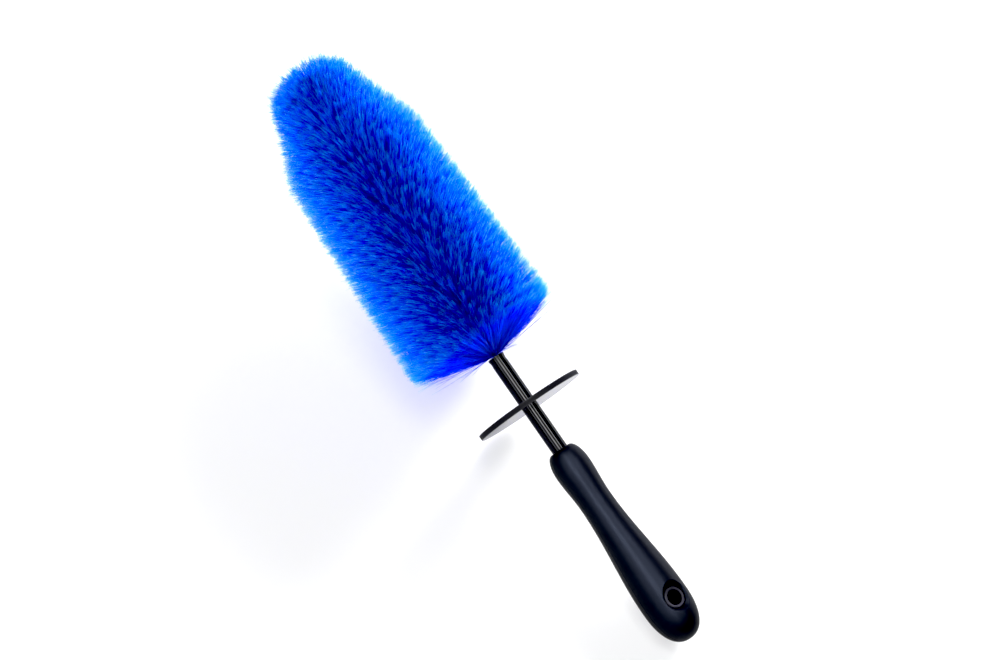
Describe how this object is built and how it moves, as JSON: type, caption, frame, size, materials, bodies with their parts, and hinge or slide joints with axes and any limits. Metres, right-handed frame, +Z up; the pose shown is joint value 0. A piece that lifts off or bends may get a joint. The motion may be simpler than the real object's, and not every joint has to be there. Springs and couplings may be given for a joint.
{
  "type": "wheel brush",
  "caption": "Long twisted-in-wire wheel cleaning brush with blue filaments, a sleeved stem, a sliding splash guard and a soft grip handle with a hanging hole.",
  "frame": {"origin": "centre of the underside of the whole brush's box, on the surface it lies on", "axes": "+X from the handle's butt to the bristle tip, +Z up; the brush's own axis climbs 9 degrees from +X towards +Z; the hanging hole runs square to that axis, in the XZ plane"},
  "size_m": [0.452, 0.111, 0.1234],
  "materials": {
    "soft_grip": "satin",
    "hard_core": "matte",
    "eyelet": "satin",
    "stem_sleeve": "gloss",
    "core_wire": "satin",
    "splash_guard": "satin",
    "tip_cap": "matte",
    "filament": "satin"
  },
  "bodies": {
    "brush": {"grip_sleeve": "soft_grip", "handle_core": "hard_core", "hang_hole_eyelet": "eyelet", "stem_sleeve": "stem_sleeve", "core_wire_a": "core_wire", "core_wire_b": "core_wire", "tip_cap": "tip_cap", "bristle_turn_01": "filament", "bristle_turn_02": "filament", "bristle_turn_03": "filament", "bristle_turn_04": "filament", "bristle_turn_05": "filament", "bristle_turn_06": "filament", "bristle_turn_07": "filament", "bristle_turn_08": "filament", "bristle_turn_09": "filament", "bristle_turn_10": "filament", "bristle_turn_11": "filament", "bristle_turn_12": "filament", "bristle_turn_13": "filament", "bristle_turn_14": "filament", "bristle_turn_15": "filament", "bristle_turn_16": "filament", "bristle_turn_17": "filament", "bristle_turn_18": "filament", "bristle_tip": "filament"},
    "guard": {"splash_guard": "splash_guard"}
  },
  "joints": [
    {"name": "guard_slide", "type": "slide", "parent": "brush", "child": "guard", "axis": [0.9877, 0, 0.1564], "range_m": [-0.0333, 0.0348]}
  ]
}
